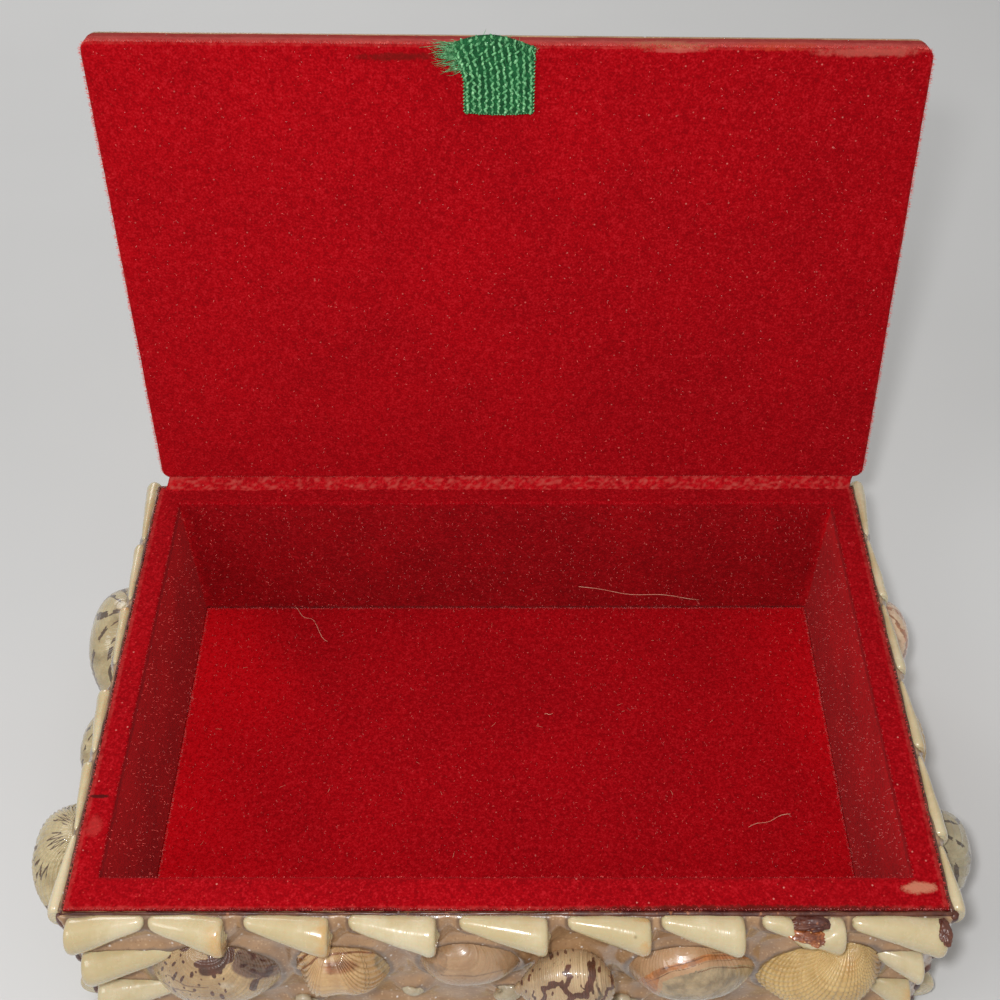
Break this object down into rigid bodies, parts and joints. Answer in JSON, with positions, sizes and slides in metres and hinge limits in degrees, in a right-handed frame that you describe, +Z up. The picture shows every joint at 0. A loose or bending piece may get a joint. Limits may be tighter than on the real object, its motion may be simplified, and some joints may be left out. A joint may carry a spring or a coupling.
{
  "type": "shell-covered trinket box",
  "caption": "Rectangular keepsake box covered in sea shells, velvet-lined inside, with a cloth-hinged lid standing open and a knitted ribbon pull.",
  "frame": {"origin": "centre of the box's underside, midway between its boards", "axes": "+X to the right along the box's long side, +Y to the back where the lid is hinged, +Z up"},
  "size_m": [0.1906, 0.153, 0.147],
  "materials": {
    "board": "thin plain wooden board, sealed underneath",
    "velvet": "short-pile red velvet with a sparkle of lint, worn paler along the hinge and the lid's edge",
    "ribbon": "knitted rayon ribbon, deep green with pale loops, frayed at the top left",
    "bed": "clear varnish over tan filler, with fine glitter, glossy",
    "cone_shell": "natural ivory shell, varnished",
    "clam_shell": "natural clam shell, cream with brown marks, varnished",
    "snail_shell": "natural sea-snail shell, cream with red-brown zigzags, varnished",
    "cockle_shell": "natural ribbed cockle shell, yellow to orange, varnished"
  },
  "bodies": {
    "box": {"floor_board": "board", "front_board": "board", "back_board": "board", "left_board": "board", "right_board": "board", "wall_lining": "velvet", "floor_lining": "velvet", "hinge_cloth": "velvet", "front_bed": "bed", "back_bed": "bed", "left_bed": "bed", "right_bed": "bed", "front_top_cone_1": "cone_shell", "front_top_cone_2": "cone_shell", "front_top_cone_3": "cone_shell", "front_top_cone_4": "cone_shell", "front_top_cone_5": "cone_shell", "front_top_cone_6": "cone_shell", "front_top_cone_7": "cone_shell", "front_top_cone_8": "cone_shell", "front_top_cone_9": "cone_shell", "front_left_cone_stack": "cone_shell", "front_right_cone_stack": "cone_shell", "left_top_cone_1": "cone_shell", "left_top_cone_2": "cone_shell", "left_top_cone_3": "cone_shell", "left_top_cone_4": "cone_shell", "left_top_cone_5": "cone_shell", "left_top_cone_6": "cone_shell", "right_top_cone_1": "cone_shell", "right_top_cone_2": "cone_shell", "right_top_cone_3": "cone_shell", "right_top_cone_4": "cone_shell", "right_top_cone_5": "cone_shell", "right_top_cone_6": "cone_shell", "back_top_cones": "cone_shell", "front_spotted_clam": "clam_shell", "front_moon_shell": "clam_shell", "front_peach_tellin": "clam_shell", "left_striped_clam": "clam_shell", "left_small_clam": "clam_shell", "left_venus_clam": "clam_shell", "right_glassy_clam": "clam_shell", "right_peach_clam": "clam_shell", "back_clams": "clam_shell", "front_zigzag_volute": "snail_shell", "front_ribbed_ark": "cockle_shell", "front_yellow_cockle": "cockle_shell", "right_ribbed_cockle": "cockle_shell"},
    "lid": {"lid_board": "board", "lid_lining": "velvet", "pull_tab": "ribbon", "lid_bed": "bed", "lid_back_cones": "cone_shell", "lid_front_cones": "cone_shell", "lid_left_cones": "cone_shell", "lid_right_cones": "cone_shell", "lid_left_clams": "clam_shell", "lid_right_clams": "clam_shell", "lid_centre_cockle": "cockle_shell"}
  },
  "joints": [
    {"name": "lid_hinge", "type": "hinge", "parent": "box", "child": "lid", "pos_m": [0, 0.0535, 0.0455], "axis": [-1, 0, 0], "range_deg": [-102, 0]}
  ]
}
